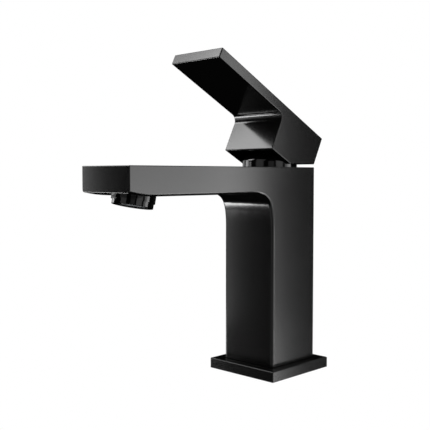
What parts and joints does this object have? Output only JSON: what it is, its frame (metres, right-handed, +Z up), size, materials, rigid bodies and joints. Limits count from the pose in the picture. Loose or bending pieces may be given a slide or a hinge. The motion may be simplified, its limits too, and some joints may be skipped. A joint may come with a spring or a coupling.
{
  "type": "bathroom mixer faucet",
  "caption": "Square-column basin mixer in satin black, with a flat spout and a block handle whose flat lever lifts for flow and turns for temperature.",
  "frame": {"origin": "centre of the column's foot on the deck", "axes": "+Z up the column, -Y towards the user along the spout, +X to the user's right, the cold side"},
  "size_m": [0.058, 0.1761, 0.2144],
  "materials": {
    "black_body": "satin black coating on cast brass",
    "black_plate": "satin black coating",
    "black_dome": "satin black coating",
    "black_handle": "satin black coating on cast zinc",
    "black_aerator": "gloss black coating",
    "gasket_rubber": "matte foam rubber",
    "seal_rubber": "smooth rubber",
    "cartridge_plastic": "moulded grey plastic",
    "carrier_plastic": "moulded blue plastic",
    "limit_plastic": "moulded red plastic",
    "rotor_plastic": "moulded white plastic",
    "aerator_plastic": "moulded grey plastic",
    "black_plastic": "moulded black plastic",
    "ceramic": "lapped alumina",
    "steel": "stainless steel",
    "brass": "turned brass",
    "plated_brass": "drawn brass"
  },
  "bodies": {
    "faucet_body": {"body": "black_body", "base_plate": "black_plate", "base_gasket": "gasket_rubber", "cartridge_base": "cartridge_plastic", "port_seals": "seal_rubber", "cartridge_housing": "cartridge_plastic", "housing_o_ring": "seal_rubber", "fixed_ceramic_disc": "ceramic", "limit_ring": "limit_plastic", "retaining_nut": "brass", "dome_o_ring": "seal_rubber", "dome_cover": "black_dome", "aerator_shell": "black_aerator", "aerator_insert": "aerator_plastic", "flow_regulator": "carrier_plastic", "aerator_screen": "steel", "aerator_washer": "seal_rubber"},
    "swivel": {"rotor": "rotor_plastic", "pivot_pin": "steel"},
    "lever": {"handle": "black_handle", "stem": "plated_brass", "grub_screw": "steel", "screw_plug": "black_plastic"},
    "disc_slider": {"disc_carrier": "carrier_plastic", "moving_ceramic_disc": "ceramic"}
  },
  "joints": [
    {"name": "temperature_turn", "type": "hinge", "parent": "faucet_body", "child": "swivel", "pos_m": [0, 0, 0.1485], "axis": [0, 0, 1], "range_deg": [-50, 50]},
    {"name": "lever_lift", "type": "hinge", "parent": "swivel", "child": "lever", "pos_m": [0, 0, 0.1485], "axis": [1, 0, 0], "range_deg": [0, 27]},
    {"name": "disc_slide", "type": "slide", "parent": "swivel", "child": "disc_slider", "axis": [0, 1, 0], "range_m": [0, 0.00677]}
  ],
  "couplings": [
    {"joint": "disc_slide", "follows": "lever_lift", "m_per_rad": 0.014366}
  ]
}
